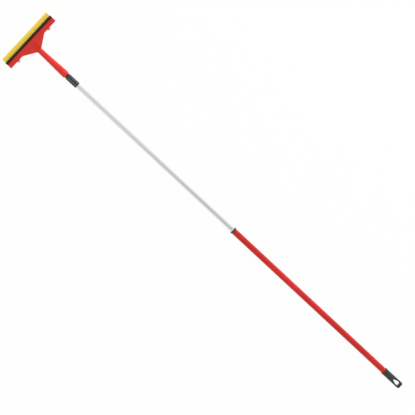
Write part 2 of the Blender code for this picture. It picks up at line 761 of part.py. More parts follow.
def make_core_pocket():
    """The pocket behind the recess, which keeps the root of the fan from being solid."""
    half = CORE_POCKET_WIDTH / 2
    high = BAR_BOTTOM - SHELL_WALL
    pocket = box(
        "core_pocket",
        (-half, RECESS_DEPTH + SHELL_WALL - FAN_FRONT, high - CORE_POCKET_HEIGHT),
        (half, NECK_RADIUS + OVERRUN, high),
    )
    return place(as_helper(pocket), MOUTH)


def make_squeegee_body():
    """Bar, fan, neck and screw socket as one moulding, hollow at the back."""
    outline = rounded(inset(body_corners(), EDGE_ROUNDING))
    body = slab("squeegee_body", outline, -FAN_FRONT, BAR_BACK, "FRONT", EDGE_ROUNDING)
    steps = [
        ("UNION", make_bar_front()),
        ("DIFFERENCE", make_body_hollow()),
        ("UNION", make_fan_root()),
        ("UNION", make_neck()),
    ]
    for side in (-1, 1):
        x = side * PIN_SPACING / 2
        low = BAR_BOTTOM - BOSS_DROP
        foot = rod(f"boss_foot_{side}", BOSS_RADIUS, low, BAR_BOTTOM + SHELL_WALL / 2, PIN_SIDES)
        steps.append(("UNION", place(as_helper(foot), MOUTH, x)))
        hole = rod(f"pin_hole_{side}", PIN_BORE, low - OVERRUN, BAR_TOP + OVERRUN, PIN_SIDES)
        steps.append(("DIFFERENCE", place(as_helper(hole), MOUTH, x)))
    steps += [
        ("DIFFERENCE", make_socket_bore()),
        ("DIFFERENCE", make_recess()),
        ("DIFFERENCE", make_core_pocket()),
    ]
    for operation, other in steps:
        # The faces meet at grazing angles, which this solver closes and the exact one doesn't.
        boolean(body, operation, other, solver="MANIFOLD")
    place(as_part(body, red_moulding), MOUTH)


def make_sponge_carrier():
    """The strip behind the sponge, with two split snap pins that hold it on the bar."""
    high = CARRIER_LOW + CARRIER_THICKNESS
    half_width = BAR_WIDTH / 2 - CARRIER_END_INSET
    carrier = box(
        "sponge_carrier",
        (-half_width, CARRIER_SET_BACK - BAR_FRONT, CARRIER_LOW),
        (half_width, BAR_BACK, high),
    )
    catch = BAR_BOTTOM - BOSS_DROP - FIT_GAP
    barb = PIN_RADIUS + BARB_OVERHANG
    tip = catch - BARB_LENGTH
    for side in (-1, 1):
        x = side * PIN_SPACING / 2
        pin = turned(
            f"snap_pin_{side}",
            [
                (0, high - CARRIER_THICKNESS / 2),
                (PIN_RADIUS, high - CARRIER_THICKNESS / 2),
                (PIN_RADIUS, catch),
                (barb, catch),
                (barb, catch - BARB_OVERHANG),
                (BARB_TIP_DIAMETER / 2, tip),
                (0, tip),
            ],
            sides=PIN_SIDES,
        )
        boolean(carrier, "UNION", place(as_helper(pin), MOUTH, x))
        slit = box(
            f"pin_slit_{side}",
            (-PIN_SLIT / 2, -barb - OVERRUN, tip - OVERRUN),
            (PIN_SLIT / 2, barb + OVERRUN, tip + PIN_SLIT_LENGTH),
        )
        boolean(carrier, "DIFFERENCE", place(as_helper(slit), MOUTH, x))
    place(as_part(carrier, red_moulding), MOUTH)


def make_blade_rubber():
    """An extruded strip: a flat foot under the carrier and a lip that leans to the front."""
    foot_high = BLADE_FOOT_LOW + BLADE_FOOT_THICKNESS
    along = Vector((-math.sin(BLADE_LEAN), math.cos(BLADE_LEAN)))
    back = Vector((math.cos(BLADE_LEAN), math.sin(BLADE_LEAN)))
    heel = Vector((FIT_GAP - BAR_FRONT, BLADE_FOOT_LOW))
    tip = heel + along * BLADE_REACH
    tip_back = tip + back * BLADE_TIP_THICKNESS
    root_back = heel + back * BLADE_ROOT_THICKNESS
    lip = tip_back - root_back
    on_foot = root_back + lip * (foot_high - root_back.y) / lip.y
    outline = [
        (BAR_BACK, foot_high),
        tuple(on_foot),
        tuple(tip_back),
        tuple(tip),
        tuple(heel),
        (BAR_BACK, BLADE_FOOT_LOW),
    ]
    half_width = BAR_WIDTH / 2
    blade = slab("blade_rubber", outline, -half_width, half_width, "SIDE")
    for side in (-1, 1):
        low = BLADE_FOOT_LOW - OVERRUN
        hole = rod(f"blade_hole_{side}", PIN_BORE, low, foot_high + OVERRUN, PIN_SIDES)
        boolean(blade, "DIFFERENCE", place(as_helper(hole), MOUTH, side * PIN_SPACING / 2))
    place(as_part(blade, rubber), MOUTH)


def make_sponge():
    """A foam block on the carrier, whose back the squeegee lies on."""
    half_width = BAR_WIDTH / 2 - SPONGE_END_INSET
    sponge = box(
        "sponge", (-half_width, -SPONGE_FRONT, SPONGE_LOW), (half_width, AXIS_HEIGHT, HEAD_HEIGHT)
    )
    bevel(sponge, SPONGE_ROUNDING, segments=3)
    place(as_part(sponge, foam), MOUTH)


clear_scene()
parts = new_collection("window_squeegee")
helpers = new_collection("cutters_and_helpers")
helpers.hide_render = True

laid_down = bpy.data.objects.new("laid_down", None)
parts.objects.link(laid_down)
laid_down.rotation_euler = (-math.pi / 2, 0, -math.pi / 2)
laid_down.location = (-TOTAL_LENGTH / 2, 0, AXIS_HEIGHT)

red_enamel = principled("red enamel", "#c8332b", 0.32)
red_moulding = principled("red polypropylene", "#d8352c", 0.38)
aluminium = principled("anodised aluminium", "#c9cccf", 0.28, 1.0)
black_plastic = principled("black polypropylene", "#35373a", 0.45)
grey_plastic = principled("grey acetal", "#8d9092", 0.5)
zinc_steel = principled("zinc plated steel", "#b8bcc0", 0.35, 1.0)
rubber = principled("black rubber", "#2a2624", 0.6)
foam = principled("yellow sponge", "#e6cf4c", 0.95)

make_end_cap()
make_outer_tube()
make_collar()
make_twist_lock()
make_inner_tube()
make_screw_adaptor()
make_squeegee_body()
make_blade_rubber()
make_sponge_carrier()
make_sponge()
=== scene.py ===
import math

import bmesh
import bpy
from mathutils import Matrix, Vector, noise


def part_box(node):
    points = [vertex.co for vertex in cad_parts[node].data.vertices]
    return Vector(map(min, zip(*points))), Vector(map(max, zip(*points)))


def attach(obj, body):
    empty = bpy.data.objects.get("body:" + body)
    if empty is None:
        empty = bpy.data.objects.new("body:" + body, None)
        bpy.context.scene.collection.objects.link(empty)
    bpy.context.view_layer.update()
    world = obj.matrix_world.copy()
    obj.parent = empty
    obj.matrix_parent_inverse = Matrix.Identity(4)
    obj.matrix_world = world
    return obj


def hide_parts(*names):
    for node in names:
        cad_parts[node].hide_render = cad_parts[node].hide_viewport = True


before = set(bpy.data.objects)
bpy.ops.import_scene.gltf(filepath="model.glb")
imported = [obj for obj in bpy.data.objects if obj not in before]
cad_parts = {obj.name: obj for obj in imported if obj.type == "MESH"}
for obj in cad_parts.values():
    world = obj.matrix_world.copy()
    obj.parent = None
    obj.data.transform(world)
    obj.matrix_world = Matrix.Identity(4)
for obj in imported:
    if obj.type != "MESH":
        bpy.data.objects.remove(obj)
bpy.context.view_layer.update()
scene = bpy.context.scene
MM = 0.001

# Camera
# The photograph looks down on the squeegee from about 8 m, a little from the side of the head,
# with the pole running from the lower right to the upper left.
PHOTO_PIXELS = 415
FOCAL_PIXELS = 2027.5
SENSOR_WIDTH = 36
VIEW_DISTANCE = 8.0
VIEW_TILT = math.radians(14.5)
POLE_SLOPE = math.radians(42.94)
AIM_ALONG_POLE = 58.4 * MM
AIM_BESIDE_POLE = 2.6 * MM

cap_low, cap_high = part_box("end_cap")
pole_height = (cap_low.z + cap_high.z) / 2
lens = bpy.data.cameras.new("camera")
lens.sensor_width = SENSOR_WIDTH
lens.lens = SENSOR_WIDTH * FOCAL_PIXELS / PHOTO_PIXELS
camera = bpy.data.objects.new("camera", lens)
scene.collection.objects.link(camera)
scene.camera = camera
camera.matrix_world = (
    Matrix.Translation((AIM_ALONG_POLE, AIM_BESIDE_POLE, pole_height))
    @ Matrix.Rotation(VIEW_TILT, 4, "Y")
    @ Matrix.Rotation(POLE_SLOPE - math.pi, 4, "Z")
    @ Matrix.Translation((0, 0, VIEW_DISTANCE))
)


# Outer tube
# The lower half of the pole: thin steel tube, drawn and welded, with a coat of red enamel. It is
# 25 mm across and its mouth holds the guide collar.
TUBE_EDGE = 0.2 * MM
TUBE_FACETS = 96
OUTER_TUBE_WALL = 0.7 * MM
# Points of a turned piece that are closer than this are one.
SEAM_WELD = 0.001 * MM
# Faces that meet at a sharper turn than this, in degrees, keep a crisp edge.
CRISP_TURN = 35
ENAMEL_RED = "#d42e28"
ENAMEL_DEEP_RED = "#c62721"
ORANGE_PEEL = 2.6 * MM
ENAMEL_CLOUDS = 60 * MM


def linear(hex_colour):
    """An sRGB hex colour as the linear values that a shader takes."""
    channels = [int(hex_colour[i : i + 2], 16) / 255 for i in (1, 3, 5)]
    return [c / 12.92 if c <= 0.04045 else ((c + 0.055) / 1.055) ** 2.4 for c in channels] + [1]


def plug(material, socket, value):
    """Gives a socket a plain value, or links another node's output to it."""
    if isinstance(value, bpy.types.NodeSocket):
        material.node_tree.links.new(value, socket)
    else:
        socket.default_value = value


def add(material, kind, sockets=(), **settings):
    """Adds a node to a material, with its settings, and its sockets as values or as links."""
    made = material.node_tree.nodes.new(kind)
    for name, value in settings.items():
        setattr(made, name, value)
    for name, value in dict(sockets).items():
        plug(material, made.inputs[name], value)
    return made


def shade(material, **sockets):
    """Plugs values or links in a material's Principled shader, by the names of its sockets."""
    shader = material.node_tree.nodes["Principled BSDF"]
    for name, value in sockets.items():
        plug(material, shader.inputs[name.replace("_", " ")], value)


def new_material(name, **sockets):
    """A material with one Principled shader, given what is the same all over its surface."""
    material = bpy.data.materials.new(name)
    material.use_nodes = True
    shade(material, **sockets)
    return material


def grain(material, size, stretch=(1, 1, 1), detail=2.0):
    """Noise over the object's own space, with one lump to a size, drawn out along an axis."""
    place = add(material, "ShaderNodeTexCoord").outputs["Object"]
    scale = [1 / (size * s) for s in stretch]
    spread = add(material, "ShaderNodeMapping", {"Vector": place, "Scale": scale})
    sockets = {"Vector": spread.outputs[0], "Scale": 1.0, "Detail": detail}
    return add(material, "ShaderNodeTexNoise", sockets).outputs["Fac"]


def two_tone(material, fac, first, second, low=0.35, high=0.65):
    """A blend of two colours as a value goes from low to high, by default the span of noise."""
    spread = {"Value": fac, "From Min": low, "From Max": high}
    share = add(material, "ShaderNodeMapRange", spread).outputs[0]
    mix = add(material, "ShaderNodeMix", {"Factor": share}, data_type="RGBA")
    colours = [socket for socket in mix.inputs if socket.type == "RGBA"]
    for socket, colour in zip(colours, (first, second)):
        plug(material, socket, linear(colour) if isinstance(colour, str) else colour)
    return next(socket for socket in mix.outputs if socket.type == "RGBA")


def turn(form, profile, facets=TUBE_FACETS):
    """Turns a closed profile about the pole's axis: (place along the pole, radius, rounding)."""
    older = set(form.verts)
    corners = [form.verts.new((x, 0, pole_height + radius)) for x, radius, _ in profile]
    for first, second in zip(corners, corners[1:] + corners[:1]):
        # A solid piece's profile closes along the axis, where no face is turned.
        if max(first.co.z, second.co.z) > pole_height:
            form.edges.new((first, second))
    for corner, (_, _, rounding) in zip(corners, profile):
        if rounding:
            bmesh.ops.bevel(
                form,
                geom=[corner],
                offset=rounding,
                offset_type="OFFSET",
                affect="VERTICES",
                segments=4,
                profile=0.5,
                material=-1,
            )
    section = [vert for vert in form.verts if vert not in older]
    section += [edge for edge in form.edges if edge.verts[0] not in older]
    bmesh.ops.spin(
        form,
        geom=section,
        cent=(0, 0, pole_height),
        axis=(1, 0, 0),
        angle=math.tau,
        steps=facets,
        use_merge=True,
    )
    bmesh.ops.remove_doubles(form, verts=form.verts, dist=SEAM_WELD)
    bmesh.ops.recalc_face_normals(form, faces=form.faces)


def as_piece(name, form, crisp=CRISP_TURN):
    """Makes a bmesh an object of the scene, smooth except over its crisp edges."""
    mesh = bpy.data.meshes.new(name)
    form.to_mesh(mesh)
    form.free()
    mesh.shade_smooth()
    mesh.set_sharp_from_angle(angle=math.radians(crisp))
    piece = bpy.data.objects.new(name, mesh)
    scene.collection.objects.link(piece)
    return piece


def fit(piece, material, body, node):
    """Gives a piece its finish and its body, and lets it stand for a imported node."""
    piece.data.materials.clear()
    piece.data.materials.append(material)
    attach(piece, body)
    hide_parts(node)


def tube(name, node, wall):
    """A tube over the length and width of a packed one, with its ends' edges broken."""
    low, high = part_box(node)
    radius = (high.z - low.z) / 2
    form = bmesh.new()
    outside = [(low.x, radius, TUBE_EDGE), (high.x, radius, TUBE_EDGE)]
    inside = [(high.x, radius - wall, TUBE_EDGE), (low.x, radius - wall, TUBE_EDGE)]
    turn(form, outside + inside)
    return as_piece(name, form)


# Enamel: a thick stoved coat that flows out glossy, with a slight orange peel that breaks up
# its reflections, and a colour that is a shade deeper where the coat is thicker.
enamel = new_material("red_stoved_enamel", Roughness=0.4, IOR=1.5, Specular_IOR_Level=0.22)
clouds = grain(enamel, ENAMEL_CLOUDS, stretch=(2.5, 1, 1))
colour = two_tone(enamel, clouds, ENAMEL_DEEP_RED, ENAMEL_RED)
peel = grain(enamel, ORANGE_PEEL, detail=1.0)
bump = add(enamel, "ShaderNodeBump", {"Strength": 0.1, "Distance": 0.05 * MM, "Height": peel})
shade(enamel, Base_Color=colour, Normal=bump.outputs[0])
outer_tube = tube("red_tube", "outer_tube", OUTER_TUBE_WALL)
fit(outer_tube, enamel, "outer_pole", "outer_tube")


# Inner tube
# The upper half of the pole: extruded aluminium, drawn to 20 mm and clear anodised, which
# slides in the outer tube and turns to lock.
INNER_TUBE_WALL = 0.9 * MM
ALUMINIUM = "#e9ebed"
ALUMINIUM_SHADE = "#e0e3e6"
ALUMINIUM_ROUGHNESS = (0.17, 0.25)
# Real drawing lines are about 0.1 mm apart. These are 1.2 mm, so that they can show at all.
DRAWING_LINES = 1.2 * MM
LINE_CONTRAST = (0.3, 0.7)

# Anodised aluminium: satin, with fine lines drawn out along the tube that spread each
# highlight round it.
anodised = new_material("anodised_aluminium", Metallic=1.0)
lines = grain(anodised, DRAWING_LINES, stretch=(150, 1, 1), detail=3.0)
faint, strong = LINE_CONTRAST
colour = two_tone(anodised, lines, ALUMINIUM_SHADE, ALUMINIUM, faint, strong)
smooth, rough = ALUMINIUM_ROUGHNESS
spread = {"Value": lines, "From Min": faint, "From Max": strong, "To Min": smooth, "To Max": rough}
sheen = add(anodised, "ShaderNodeMapRange", spread)
bump = add(anodised, "ShaderNodeBump", {"Strength": 0.2, "Distance": 0.03 * MM, "Height": lines})
shade(anodised, Base_Color=colour, Roughness=sheen.outputs[0], Normal=bump.outputs[0])
inner_tube = tube("aluminium_tube", "inner_tube", INNER_TUBE_WALL)
fit(inner_tube, anodised, "inner_pole", "inner_tube")


# Guide collar
# A bush pressed into the mouth of the outer tube, moulded in black polypropylene. Its brim
# covers the cut edge and its long spigot guides the inner tube.
BLACK = "#2a2b2d"
BLACK_WORN = "#343537"
HANDLED_PATCHES = 22 * MM
# Real spark-eroded grain is under 0.1 mm. This is 1.4 mm, so that it can show at all.
MOULD_GRAIN = 1.4 * MM
RUNNING_GAP = 0.3 * MM
COLLAR_WALL = 1.1 * MM
COLLAR_BRIM_HEIGHT = 5.0 * MM
COLLAR_BRIM_ROUNDING = 1.5 * MM
COLLAR_LEAD_IN = 0.5 * MM

low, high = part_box("guide_collar")
tube_low, tube_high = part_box("inner_tube")
collar_bore = (tube_high.z - tube_low.z) / 2 + RUNNING_GAP
brim_radius = (high.z - low.z) / 2
brim_foot = high.x - COLLAR_BRIM_HEIGHT
form = bmesh.new()
turn(
    form,
    [
        (high.x, collar_bore, COLLAR_LEAD_IN),
        (high.x, brim_radius, COLLAR_BRIM_ROUNDING),
        (brim_foot, brim_radius, TUBE_EDGE),
        (brim_foot, collar_bore + COLLAR_WALL, 0),
        (low.x, collar_bore + COLLAR_WALL, COLLAR_LEAD_IN),
        (low.x, collar_bore, TUBE_EDGE),
    ],
)
collar = as_piece("tube_collar", form)

# Black polypropylene: dyed in the mass and moulded satin, so light spreads over a fine
# spark-eroded grain, and handling leaves it a little paler in patches.
polypropylene = new_material("black_moulded_polypropylene", Roughness=0.46, IOR=1.49)
patches = grain(polypropylene, HANDLED_PATCHES)
colour = two_tone(polypropylene, patches, BLACK, BLACK_WORN, low=0.4, high=0.7)
texture = grain(polypropylene, MOULD_GRAIN, detail=4.0)
relief = {"Strength": 0.15, "Distance": 0.06 * MM, "Height": texture}
bump = add(polypropylene, "ShaderNodeBump", relief)
shade(polypropylene, Base_Color=colour, Normal=bump.outputs[0])
fit(collar, polypropylene, "outer_pole", "guide_collar")


# End cap
# A black moulded plug over the low end of the outer tube. It flattens to a tab with a
# teardrop eye that hangs on a hook.
MOULD_EDGE = 0.4 * MM
# Corners of packed triangles that are closer than this are one, and so are faces that turn by
# less than this. An outer edge that turns by more than the last leaves the mould rounded.
TRIANGLE_WELD = 0.002 * MM
FLAT_TURN = math.radians(0.5)
EDGE_TURN = math.radians(30)
# Shorter edges are closed up, because the shortest one limits how far all are rounded.
SHORTEST_EDGE = 0.11 * MM


def joined_copy(node, name):
    """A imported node's shape with its flat faces made whole and its outer edges softened."""
    form = bmesh.new()
    form.from_mesh(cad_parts[node].data)
    bmesh.ops.remove_doubles(form, verts=form.verts, dist=TRIANGLE_WELD)
    bmesh.ops.dissolve_limit(form, angle_limit=FLAT_TURN, verts=form.verts, edges=form.edges)
    bmesh.ops.remove_doubles(form, verts=form.verts, dist=SHORTEST_EDGE)
    bmesh.ops.bevel(
        form,
        geom=[e for e in form.edges if e.is_convex and e.calc_face_angle() > EDGE_TURN],
        offset=MOULD_EDGE,
        affect="EDGES",
        segments=3,
        profile=0.5,
        material=-1,
        clamp_overlap=True,
    )
    piece = as_piece(name, form)
    piece.modifiers.new("flat_faces", "WEIGHTED_NORMAL").keep_sharp = True
    return piece


cap = joined_copy("end_cap", "hanging_cap")
fit(cap, polypropylene, "outer_pole", "end_cap")


# Twist lock
# A plug in the low end of the inner tube carries a threaded steel spindle. Turning the pole
# draws a cone along it, which spreads a split ring against the outer tube.
SPINDLE_PITCH = 3.0 * MM
SPINDLE_THREAD_DEPTH = 0.7 * MM
SPINDLE_END_BEVEL = 0.6 * MM
SPINDLE_FACETS = 48
SPINDLE_THREAD_FACETS = 36
# The ridge of a thread: how far its feet are sunk in the core, how long its ends run out, and
# the shares of a pitch at which its crest starts, its crest ends and its far foot stands.
RIDGE_SINK = 0.2 * MM
RIDGE_FADE = 1.5 * MM
CREST_START, CREST_END, RIDGE_END = 0.22, 0.5, 0.72
ACETAL = "#8f9294"
ACETAL_PALE = "#95989a"
ACETAL_CLOUDS = 9 * MM
ZINC = "#b6bbc0"
ZINC_PALE = "#c9cdd0"
ZINC_CLOUDS = 3 * MM


def cut_thread(form, start, end, crest, depth, pitch, facets):
    """Winds a thread's ridge in an empty form, running out at both of its ends."""
    root = crest - depth
    feet, top = root - RIDGE_SINK, root + depth
    section = [(0, feet), (CREST_START, top), (CREST_END, top), (RIDGE_END, feet)]
    corners = [form.verts.new((start + x * pitch, 0, pole_height + z)) for x, z in section]
    ridge = form.faces.new(corners)
    turns = (end - start) / pitch - RIDGE_END
    steps = round(turns * facets)
    bmesh.ops.spin(
        form,
        geom=[ridge, *ridge.edges, *corners],
        cent=(0, 0, pole_height),
        axis=(1, 0, 0),
        dvec=(pitch * turns / steps, 0, 0),
        angle=math.tau * turns,
        steps=steps,
    )
    for vert in form.verts:
        share = min(1.0, (vert.co.x - start) / RIDGE_FADE, (end - vert.co.x) / RIDGE_FADE)
        outward = Vector((0, vert.co.y, vert.co.z - pole_height))
        vert.co -= outward.normalized() * depth * (1 - max(share, 0.0))


low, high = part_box("lock_spindle")
crest = (high.z - low.z) / 2
root = crest - SPINDLE_THREAD_DEPTH
thread_low = low.x + SPINDLE_END_BEVEL
thread_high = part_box("lock_plug")[0].x
thread = (SPINDLE_THREAD_DEPTH, SPINDLE_PITCH, SPINDLE_THREAD_FACETS)
form = bmesh.new()
cut_thread(form, thread_low, thread_high, crest, *thread)
turn(
    form,
    [(low.x, 0, 0), (low.x, root, SPINDLE_END_BEVEL), (high.x, root, 0), (high.x, 0, 0)],
    SPINDLE_FACETS,
)
spindle = as_piece("steel_spindle", form)

# Acetal: a slippery engineering plastic with a waxy, even sheen.
acetal = new_material("grey_moulded_acetal", Roughness=0.42, IOR=1.48)
colour = two_tone(acetal, grain(acetal, ACETAL_CLOUDS), ACETAL, ACETAL_PALE)
texture = grain(acetal, MOULD_GRAIN, detail=3.0)
bump = add(acetal, "ShaderNodeBump", {"Strength": 0.2, "Distance": 0.04 * MM, "Height": texture})
shade(acetal, Base_Color=colour, Normal=bump.outputs[0])

# Zinc plate: bright electroplated steel, slightly cloudy where the passivation is thicker.
zinc = new_material("zinc_plated_steel", Metallic=1.0, Roughness=0.33)
shade(zinc, Base_Color=two_tone(zinc, grain(zinc, ZINC_CLOUDS), ZINC, ZINC_PALE))

for node, name, body in (
    ("lock_plug", "pressed_plug", "inner_pole"),
    ("expander_sleeve", "split_ring", "expander"),
    ("expander_cone", "spreading_cone", "cone"),
):
    fit(joined_copy(node, name), acetal, body, node)
fit(spindle, zinc, "inner_pole", "lock_spindle")
fit(joined_copy("stop_nut", "cone_nut"), zinc, "inner_pole", "stop_nut")


# Screw adaptor
# A black sleeve glued on the top of the inner tube, with six ribbed lands to grip it by,
# moulded in one with the coarse threaded spigot that the head screws onto.
SLEEVE_LENGTH = 51.0 * MM
SLEEVE_BORE_DEPTH = 40.3 * MM
SLEEVE_EDGE = 1.0 * MM
SLEEVE_COLLAR = 4.0 * MM
LAND_COUNT = 6
# The flute between two lands stands this far round from the top, towards the light, where the
# photograph has its darkest band.
LAND_TURN = math.radians(9)
# Four ribs to a land with its flute, so that all lands are alike.
RIB_COUNT = LAND_COUNT * 4
RIB_FACETS = 12
RIB_DEPTH = 0.8 * MM
RIB_FADE = 1.2 * MM
# The powers that make the grooves between ribs narrow, and the flutes wide.
GROOVE_POWER = 2
FLUTE_POWER = 0.6
# The lands' paler black is a painted highlight, and the flutes' darker black is painted shade.
SHEEN_PAINTED_BLACK = "#57595b"
SHEEN_PAINTED_PALE = "#616365"
SCUFFED_PATCHES = 9 * MM
FLUTE_PAINTED_SHADE = "#202123"
SPIGOT_STEP = 1.1 * MM
SPIGOT_END_BEVEL = 1.5 * MM
HEAD_THREAD_PITCH = 5.0 * MM
HEAD_THREAD_DEPTH = 0.9 * MM
HEAD_THREAD_FACETS = 64

low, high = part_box("screw_adaptor")
sleeve_radius = (high.z - low.z) / 2
crest = sleeve_radius - SPIGOT_STEP
root = crest - HEAD_THREAD_DEPTH
shoulder = low.x + SLEEVE_LENGTH
bore_end = low.x + SLEEVE_BORE_DEPTH
ribs_low = low.x + SLEEVE_COLLAR
ribs_high = shoulder - SLEEVE_EDGE
thread_low = shoulder + SPIGOT_STEP
thread_high = high.x - SPIGOT_END_BEVEL
thread = (HEAD_THREAD_DEPTH, HEAD_THREAD_PITCH, HEAD_THREAD_FACETS)
form = bmesh.new()
cut_thread(form, thread_low, thread_high, crest, *thread)
turn(
    form,
    [
        (low.x, collar_bore, TUBE_EDGE),
        (low.x, sleeve_radius, SLEEVE_EDGE),
        (ribs_low, sleeve_radius, 0),
        (ribs_low + RIB_FADE / 2, sleeve_radius, 0),
        (ribs_low + RIB_FADE, sleeve_radius, 0),
        (ribs_high - RIB_FADE, sleeve_radius, 0),
        (ribs_high - RIB_FADE / 2, sleeve_radius, 0),
        (ribs_high, sleeve_radius, 0),
        (shoulder, sleeve_radius, SLEEVE_EDGE / 2),
        (shoulder, root, 0),
        (high.x, root, SPIGOT_END_BEVEL),
        (high.x, 0, 0),
        (bore_end, 0, 0),
        (bore_end, collar_bore, 0),
    ],
    RIB_COUNT * RIB_FACETS,
)
for vert in form.verts:
    outward = Vector((0, vert.co.y, vert.co.z - pole_height))
    if outward.length < crest:
        continue
    # The grooves between the ribs deepen from nothing over a short ramp at either end.
    ramp = min(vert.co.x - ribs_low, ribs_high - vert.co.x) / RIB_FADE
    turned = math.atan2(outward.y, outward.z) + LAND_TURN
    groove = ((1 - math.cos(turned * RIB_COUNT)) / 2) ** GROOVE_POWER
    flute = max(0.0, math.cos(turned * LAND_COUNT)) ** FLUTE_POWER
    vert.co -= outward.normalized() * RIB_DEPTH * max(groove, flute) * max(0.0, min(1.0, ramp))
adaptor = as_piece("ribbed_adaptor", form)

# The same polypropylene, painted paler on its lands as a highlight and painted darker in the
# flutes as shade, with paler patches at random. A cosine of the turn about the pole's axis finds
# the flutes.
black_with_painted_sheen = new_material("black_polypropylene_painted_sheen", Roughness=0.5, IOR=1.49)
place = add(black_with_painted_sheen, "ShaderNodeTexCoord").outputs["Object"]
to_axis = {"Vector": place, "Location": (0, 0, -pole_height)}
centred = add(black_with_painted_sheen, "ShaderNodeMapping", to_axis).outputs[0]
parts = add(black_with_painted_sheen, "ShaderNodeSeparateXYZ", {"Vector": centred}).outputs
sides = {0: parts["Y"], 1: parts["Z"]}
turned = add(black_with_painted_sheen, "ShaderNodeMath", sides, operation="ARCTAN2").outputs[0]
wave = {0: turned, 1: LAND_COUNT, 2: LAND_COUNT * LAND_TURN}
swing = add(black_with_painted_sheen, "ShaderNodeMath", wave, operation="MULTIPLY_ADD").outputs[0]
flute = add(black_with_painted_sheen, "ShaderNodeMath", {0: swing}, operation="COSINE").outputs[0]
patches = grain(black_with_painted_sheen, SCUFFED_PATCHES, stretch=(2, 1, 1))
painted_sheen_land = two_tone(black_with_painted_sheen, patches, SHEEN_PAINTED_BLACK, SHEEN_PAINTED_PALE)
colour = two_tone(black_with_painted_sheen, flute, painted_sheen_land, FLUTE_PAINTED_SHADE, low=-0.8, high=0.6)
texture = grain(black_with_painted_sheen, MOULD_GRAIN, detail=4.0)
bump = add(black_with_painted_sheen, "ShaderNodeBump", {"Strength": 0.2, "Distance": 0.06 * MM, "Height": texture})
shade(black_with_painted_sheen, Base_Color=colour, Normal=bump.outputs[0])
fit(adaptor, black_with_painted_sheen, "inner_pole", "screw_adaptor")
# The spigot past the shoulder keeps the plain black, without the painted highlight and shade.
adaptor.data.materials.append(polypropylene)
for face in adaptor.data.polygons:
    face.material_index = int(face.center.x > shoulder)


# Squeegee body
# One red polypropylene moulding: a tapering screw socket and neck, and a fan that spreads to
# the bar, hollow at the back between its ribs.
MOULDED_RED = "#ed372d"
MOULDED_DEEP_RED = "#e33027"
DARKER_BAR_RED = "#d63229"
FLOW_MARKS = 38 * MM
# How far from the far side of the bar the red starts to deepen, and where it is deepest.
BAR_DARKENING = (50 * MM, 12 * MM)

# Red polypropylene: glossier than the black, with faint flow marks where the melt spread from the
# gate, and a darker red towards the bar.
gloss = {"Roughness": 0.36, "IOR": 1.49, "Specular_IOR_Level": 0.28}
moulding = new_material("red_moulded_polypropylene", **gloss)
flow = grain(moulding, FLOW_MARKS, stretch=(1.6, 1, 1), detail=3.0)
colour = two_tone(moulding, flow, MOULDED_DEEP_RED, MOULDED_RED)
place = add(moulding, "ShaderNodeTexCoord").outputs["Object"]
along = add(moulding, "ShaderNodeSeparateXYZ", {"Vector": place}).outputs["X"]
start, stop = [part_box("squeegee_body")[1].x - distance for distance in BAR_DARKENING]
# The red turns darker towards the bar.
colour = two_tone(moulding, along, colour, DARKER_BAR_RED, low=start, high=stop)
texture = grain(moulding, MOULD_GRAIN, detail=3.0)
relief = {"Strength": 0.08, "Distance": 0.04 * MM, "Height": texture}
bump = add(moulding, "ShaderNodeBump", relief)
shade(moulding, Base_Color=colour, Normal=bump.outputs[0])
head = joined_copy("squeegee_body", "red_head")
fit(head, moulding, "head", "squeegee_body")


# Sponge carrier
# A red moulded strip behind the sponge. Its two split pins snap through the bar and show
# under it as lugs.
carrier = joined_copy("sponge_carrier", "carrier_strip")
fit(carrier, moulding, "head", "sponge_carrier")


# Blade rubber
# A strip of black natural rubber, extruded and cut to length, whose lip leans to the front
# and wipes the glass.
RUBBER = "#2e1a09"
RUBBER_BLOOM = "#362010"
# Real extrusion lines are some 0.2 mm apart, drawn coarser so that they can show.
EXTRUSION_LINES = 1.0 * MM

# Natural rubber: matt, brownish black, with faint lines along the strip from the die and a
# paler bloom.
matt = {"Roughness": 0.62, "IOR": 1.52, "Specular_IOR_Level": 0.25}
natural_rubber = new_material("extruded_natural_rubber", **matt)
lines = grain(natural_rubber, EXTRUSION_LINES, stretch=(1, 90, 1), detail=3.0)
colour = two_tone(natural_rubber, lines, RUBBER, RUBBER_BLOOM, high=0.75)
relief = {"Strength": 0.3, "Distance": 0.05 * MM, "Height": lines}
bump = add(natural_rubber, "ShaderNodeBump", relief)
shade(natural_rubber, Base_Color=colour, Normal=bump.outputs[0])
blade = joined_copy("blade_rubber", "wiper_strip")
fit(blade, natural_rubber, "head", "blade_rubber")


# Sponge
# A block of yellow open-cell foam, sawn to size and glued to the carrier. Its sawn faces are
# pitted with pores and its edges are soft.
SPONGE_STEP = 0.75 * MM
SPONGE_EDGE = 1.6 * MM
# The saw's waves rise and fall by as much as the skin that is cut away, so the block stays in
# its packed box.
SPONGE_SKIN = 0.25 * MM
SAW_WAVES = 14 * MM
# The pores that sawing opens. A steepness over one gives them flat floors.
PORE_WIDTH = 2.2 * MM
PORE_DEPTH = 0.15 * MM
PORE_STEEPNESS = 1.6
FOAM_CRISP_TURN = 80
FOAM_CELLS = 0.9 * MM
FOAM_CLOUDS = 15 * MM
FOAM_FADING = 45 * MM
FOAM_YELLOW = "#ffe154"
FOAM_GREEN_YELLOW = "#f6e457"
FOAM_ORANGE_YELLOW = "#ffd65b"
FOAM_PORE_SHADE = "#fbcc45"

